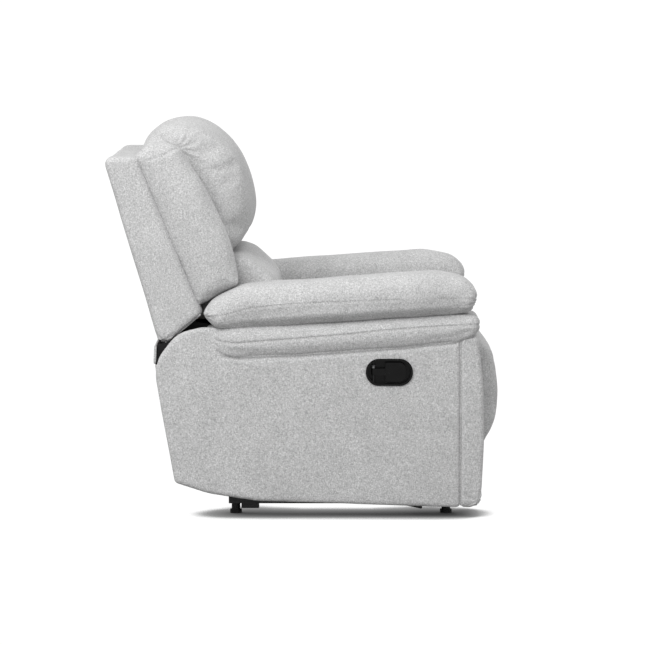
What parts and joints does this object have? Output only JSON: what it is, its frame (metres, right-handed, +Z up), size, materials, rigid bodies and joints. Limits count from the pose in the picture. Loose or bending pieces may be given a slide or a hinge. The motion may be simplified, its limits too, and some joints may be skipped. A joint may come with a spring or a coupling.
{
  "type": "recliner armchair",
  "caption": "Upholstered recliner armchair with pillow back, padded arms, pull handle, reclining back and fold-out footrest.",
  "frame": {"origin": "middle of the footprint, on the floor", "axes": "+Z up, -Y towards the front of the chair, +X to the chair's left arm as its sitter sees it"},
  "size_m": [0.94, 0.9968, 1.0037],
  "materials": {
    "grey_fabric": "light grey woven upholstery",
    "black_fabric": "thin black dust cover",
    "wood_board": "bare plywood",
    "black_steel": "black painted steel",
    "bare_steel": "zinc plated steel",
    "black_plastic": "matt black plastic",
    "black_gloss": "gloss black plastic",
    "cable_cover": "black plastic cable cover",
    "nylon": "white nylon"
  },
  "bodies": {
    "base": {"arm_frame_left": "wood_board", "arm_frame_right": "wood_board", "arm_front_left": "grey_fabric", "arm_front_right": "grey_fabric", "base_rail_left": "black_steel", "base_rail_right": "black_steel", "cross_tube_front": "black_steel", "cross_tube_rear": "black_steel", "feet": "black_plastic", "foot_brackets": "black_steel", "glide_track_left": "black_steel", "glide_track_right": "black_steel", "handle_cup": "black_gloss", "handle_pin": "bare_steel", "handle_spring": "bare_steel", "inner_arm_panel_left": "grey_fabric", "inner_arm_panel_right": "grey_fabric", "latch_bracket": "black_steel", "lower_arm_pad_left": "grey_fabric", "lower_arm_pad_right": "grey_fabric", "rear_base_panel": "grey_fabric", "release_cable": "cable_cover", "side_panel_left": "grey_fabric", "side_panel_right": "grey_fabric", "upper_arm_pad_left": "grey_fabric", "upper_arm_pad_right": "grey_fabric"},
    "handle": {"handle_lever": "black_gloss"},
    "latch": {"release_latch": "black_steel"},
    "seat": {"mechanism_plate_left": "black_steel", "mechanism_plate_right": "black_steel", "glide_blocks": "nylon", "seat_box": "wood_board", "seat_springs": "bare_steel", "seat_cushion": "grey_fabric", "mechanism_rivets": "bare_steel"},
    "back": {"back_side_left": "grey_fabric", "back_side_right": "grey_fabric", "back_outer_panel": "grey_fabric", "bolster_left": "grey_fabric", "bolster_right": "grey_fabric", "head_pillow": "grey_fabric", "lumbar_pillow": "grey_fabric", "back_bracket_left": "black_steel", "back_bracket_right": "black_steel", "back_frame": "wood_board", "back_springs": "bare_steel", "back_bolts": "bare_steel", "lower_back_cover": "black_fabric"},
    "front_link": {"front_links": "black_steel", "front_link_rivets": "bare_steel"},
    "upper_link": {"upper_links": "black_steel", "upper_link_rivets": "bare_steel"},
    "lower_link": {"lower_links": "black_steel"},
    "rear_link": {"rear_links": "black_steel", "torque_tube": "black_steel"},
    "footrest": {"footrest_bracket_left": "black_steel", "footrest_bracket_right": "black_steel", "bracket_rivets": "bare_steel", "footrest_board": "wood_board", "footrest_pad": "grey_fabric"}
  },
  "joints": [
    {"name": "back_recline", "type": "hinge", "parent": "seat", "child": "back", "pos_m": [0, 0.205, 0.445], "axis": [-1, 0, 0], "range_deg": [0, 35]},
    {"name": "seat_glide", "type": "slide", "parent": "base", "child": "seat", "axis": [0, -1, 0], "range_m": [0, 0.0242]},
    {"name": "footrest_open", "type": "hinge", "parent": "seat", "child": "front_link", "pos_m": [0, -0.338, 0.24], "axis": [-1, 0, 0], "range_deg": [0, 86]},
    {"name": "upper_link_turn", "type": "hinge", "parent": "front_link", "child": "upper_link", "pos_m": [0, -0.319, 0.111], "axis": [-1, 0, 0], "range_deg": [-115, 1]},
    {"name": "footrest_turn", "type": "hinge", "parent": "upper_link", "child": "footrest", "pos_m": [0, -0.392, 0.323], "axis": [-1, 0, 0], "range_deg": [-1, 115]},
    {"name": "lower_link_turn", "type": "hinge", "parent": "front_link", "child": "lower_link", "pos_m": [0, -0.297, 0.167], "axis": [-1, 0, 0], "range_deg": [-115, 1]},
    {"name": "rear_link_turn", "type": "hinge", "parent": "seat", "child": "rear_link", "pos_m": [0, -0.2982, 0.3082], "axis": [-1, 0, 0], "range_deg": [-1, 75.8]},
    {"name": "handle_pull", "type": "hinge", "parent": "base", "child": "handle", "pos_m": [-0.441, -0.1765, 0.369], "axis": [0, 0, -1], "range_deg": [0, 30], "stiffness_Nm_per_rad": 0.3},
    {"name": "latch_release", "type": "hinge", "parent": "base", "child": "latch", "pos_m": [-0.2775, -0.222, 0.298], "axis": [-1, 0, 0], "range_deg": [0, 12.2]}
  ],
  "couplings": [
    {"joint": "seat_glide", "follows": "back_recline", "m_per_rad": 0.039288},
    {"joint": "upper_link_turn", "follows": "footrest_open", "ratio": -1.3256},
    {"joint": "footrest_turn", "follows": "footrest_open", "ratio": 1.3256},
    {"joint": "lower_link_turn", "follows": "footrest_open", "ratio": -1.3256},
    {"joint": "rear_link_turn", "follows": "footrest_open", "ratio": 0.86977},
    {"joint": "latch_release", "follows": "handle_pull", "ratio": 0.4}
  ]
}
